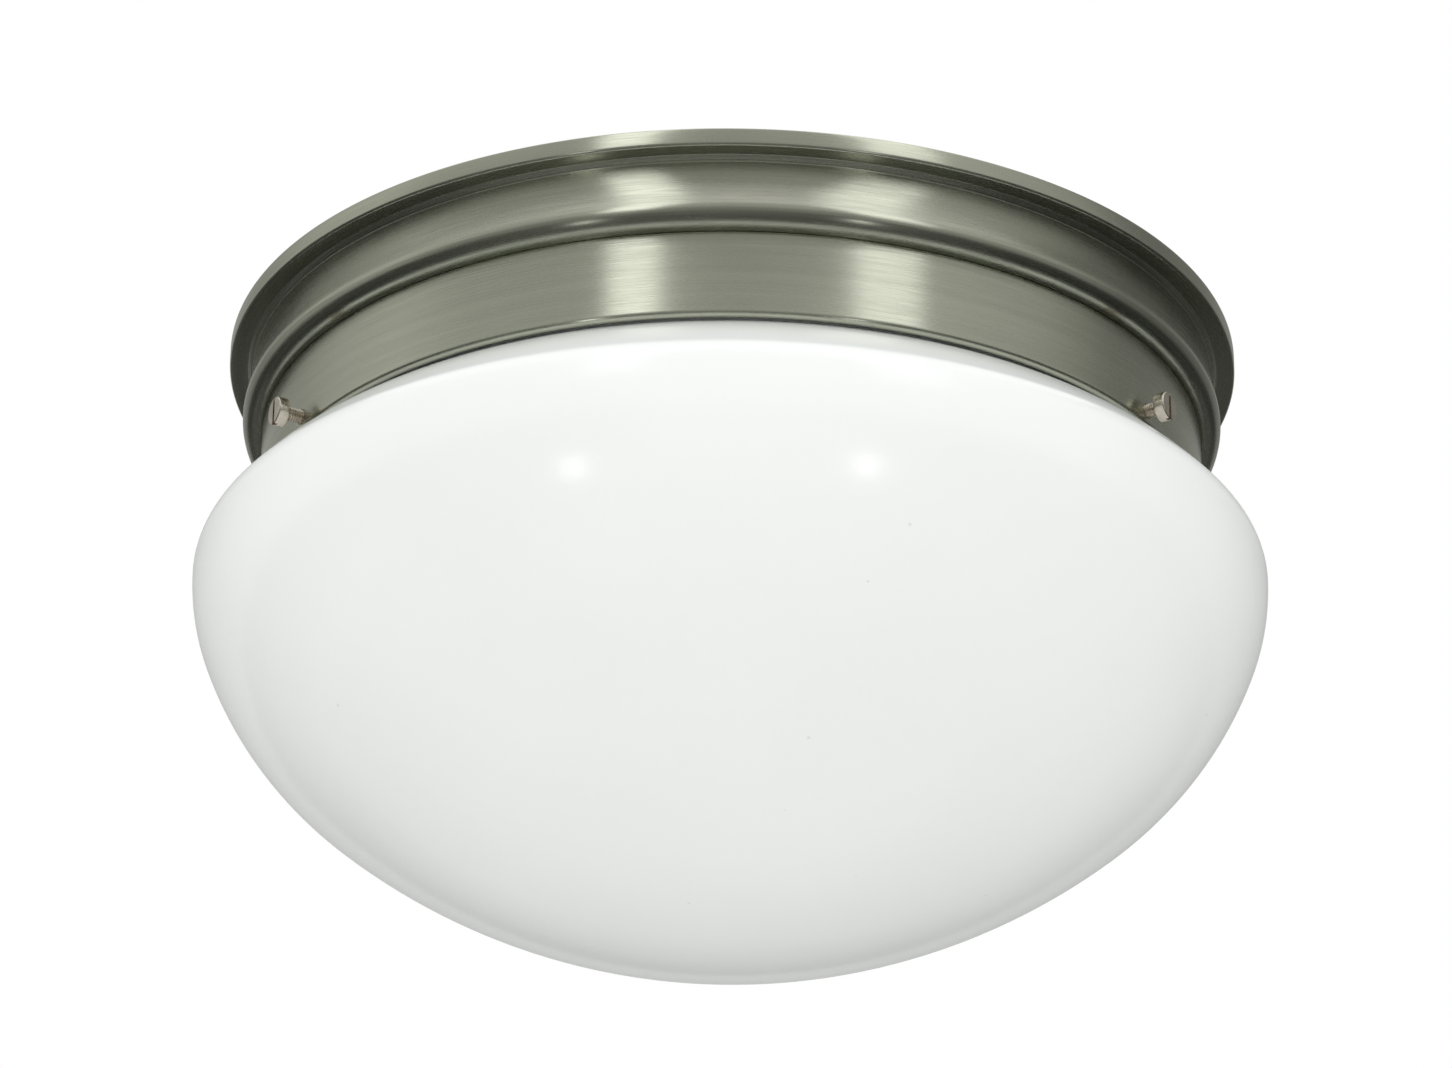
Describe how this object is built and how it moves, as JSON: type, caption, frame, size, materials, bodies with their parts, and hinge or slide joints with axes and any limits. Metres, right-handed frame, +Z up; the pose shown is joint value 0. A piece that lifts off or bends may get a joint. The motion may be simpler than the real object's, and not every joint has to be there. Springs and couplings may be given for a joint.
{
  "type": "flush mount ceiling light",
  "caption": "Round flush ceiling light: a stepped spun-metal pan clamps a wide opal glass bowl with slotted thumbscrews; screw-base lamps inside.",
  "frame": {"origin": "on the fixture's axis in the ceiling plane, at the middle of the mounting strap's top face", "axes": "+Z up towards the ceiling, -Y towards the viewer of the picture, +X to the right of that view"},
  "size_m": [0.3008, 0.3008, 0.1732],
  "materials": {
    "pan_metal": "satin brushed nickel plate",
    "plate_steel": "zinc plate",
    "strap_steel": "yellowish zinc plate",
    "fastener_steel": "bright zinc plate",
    "green_screw": "green",
    "pad_fibre": "matt glass fibre",
    "opal_glass": "gloss opal",
    "thumb_nickel": "nickel plate",
    "tip_nylon": "natural nylon",
    "porcelain": "gloss white",
    "shell_metal": "drawn aluminium",
    "contact_brass": "brass",
    "lamp_glass": "frosted white",
    "lamp_base_metal": "drawn aluminium",
    "base_insulator": "black glass",
    "eyelet_metal": "tinned brass",
    "black_insulation": "black",
    "white_insulation": "white",
    "green_insulation": "green",
    "nut_plastic": "orange",
    "bushing_plastic": "black nylon",
    "lug_copper": "tinned copper"
  },
  "bodies": {
    "root": {"pan_ring": "pan_metal", "back_plate": "plate_steel", "insulation_pad": "pad_fibre", "mounting_strap": "strap_steel", "fixture_screws": "fastener_steel", "ground_screw": "green_screw", "ground_lugs": "lug_copper", "ground_wire": "green_insulation", "ground_rivet": "fastener_steel", "wire_bushing": "bushing_plastic", "black_wire_nut": "nut_plastic", "white_wire_nut": "nut_plastic", "bracket_rivets": "fastener_steel", "white_lead_a": "white_insulation", "black_lead_a": "black_insulation", "white_lead_b": "white_insulation", "black_lead_b": "black_insulation", "socket_body_a": "porcelain", "screw_shell_a": "shell_metal", "centre_contact_a": "contact_brass", "socket_bracket_a": "plate_steel", "socket_screws_a": "fastener_steel", "socket_body_b": "porcelain", "screw_shell_b": "shell_metal", "centre_contact_b": "contact_brass", "socket_bracket_b": "plate_steel", "socket_screws_b": "fastener_steel"},
    "shade": {"glass_shade": "opal_glass"},
    "screw_tip_left": {"screw_tip_left": "tip_nylon"},
    "thumbscrew_left": {"thumbscrew_left": "thumb_nickel"},
    "screw_tip_right": {"screw_tip_right": "tip_nylon"},
    "thumbscrew_right": {"thumbscrew_right": "thumb_nickel"},
    "screw_tip_rear": {"screw_tip_rear": "tip_nylon"},
    "thumbscrew_rear": {"thumbscrew_rear": "thumb_nickel"},
    "lamp_seat_a": {"lamp_insulator_a": "base_insulator", "lamp_eyelet_a": "eyelet_metal"},
    "lamp_a": {"lamp_envelope_a": "lamp_glass", "lamp_base_a": "lamp_base_metal"},
    "lamp_seat_b": {"lamp_insulator_b": "base_insulator", "lamp_eyelet_b": "eyelet_metal"},
    "lamp_b": {"lamp_envelope_b": "lamp_glass", "lamp_base_b": "lamp_base_metal"}
  },
  "joints": [
    {"name": "shade_lower", "type": "slide", "parent": "root", "child": "shade", "axis": [0, 0, -1], "range_m": [0, 0.16]},
    {"name": "tip_travel_left", "type": "slide", "parent": "root", "child": "screw_tip_left", "axis": [-0.866, -0.5, 0], "range_m": [-0.0044, 0.0011]},
    {"name": "thumbscrew_turn_left", "type": "hinge", "parent": "screw_tip_left", "child": "thumbscrew_left", "pos_m": [-0.11821, -0.06825, -0.0458], "axis": [-0.866, -0.5, 0], "range_deg": [-2262.86, 565.71]},
    {"name": "tip_travel_right", "type": "slide", "parent": "root", "child": "screw_tip_right", "axis": [0.866, -0.5, 0], "range_m": [-0.0031, 0.0024]},
    {"name": "thumbscrew_turn_right", "type": "hinge", "parent": "screw_tip_right", "child": "thumbscrew_right", "pos_m": [0.11821, -0.06825, -0.0458], "axis": [0.866, -0.5, 0], "range_deg": [-1594.29, 1234.29]},
    {"name": "tip_travel_rear", "type": "slide", "parent": "root", "child": "screw_tip_rear", "axis": [0, 1, 0], "range_m": [-0.0037, 0.0018]},
    {"name": "thumbscrew_turn_rear", "type": "hinge", "parent": "screw_tip_rear", "child": "thumbscrew_rear", "pos_m": [0, 0.1365, -0.0458], "axis": [0, 1, 0], "range_deg": [-1902.86, 925.71]},
    {"name": "lamp_travel_a", "type": "slide", "parent": "root", "child": "lamp_seat_a", "axis": [1, 0, 0], "range_m": [0, 0.0236]},
    {"name": "lamp_turn_a", "type": "hinge", "parent": "lamp_seat_a", "child": "lamp_a", "pos_m": [0, 0.037, -0.05], "axis": [1, 0, 0], "range_deg": [0, 2340]},
    {"name": "lamp_travel_b", "type": "slide", "parent": "root", "child": "lamp_seat_b", "axis": [-1, 0, 0], "range_m": [0, 0.0236]},
    {"name": "lamp_turn_b", "type": "hinge", "parent": "lamp_seat_b", "child": "lamp_b", "pos_m": [0, -0.037, -0.05], "axis": [-1, 0, 0], "range_deg": [0, 2340]}
  ],
  "couplings": [
    {"joint": "thumbscrew_turn_left", "follows": "tip_travel_left", "rad_per_m": 8976},
    {"joint": "thumbscrew_turn_right", "follows": "tip_travel_right", "rad_per_m": 8976},
    {"joint": "thumbscrew_turn_rear", "follows": "tip_travel_rear", "rad_per_m": 8976},
    {"joint": "lamp_travel_a", "follows": "lamp_turn_a", "m_per_rad": 0.00057757},
    {"joint": "lamp_travel_b", "follows": "lamp_turn_b", "m_per_rad": 0.00057757}
  ]
}
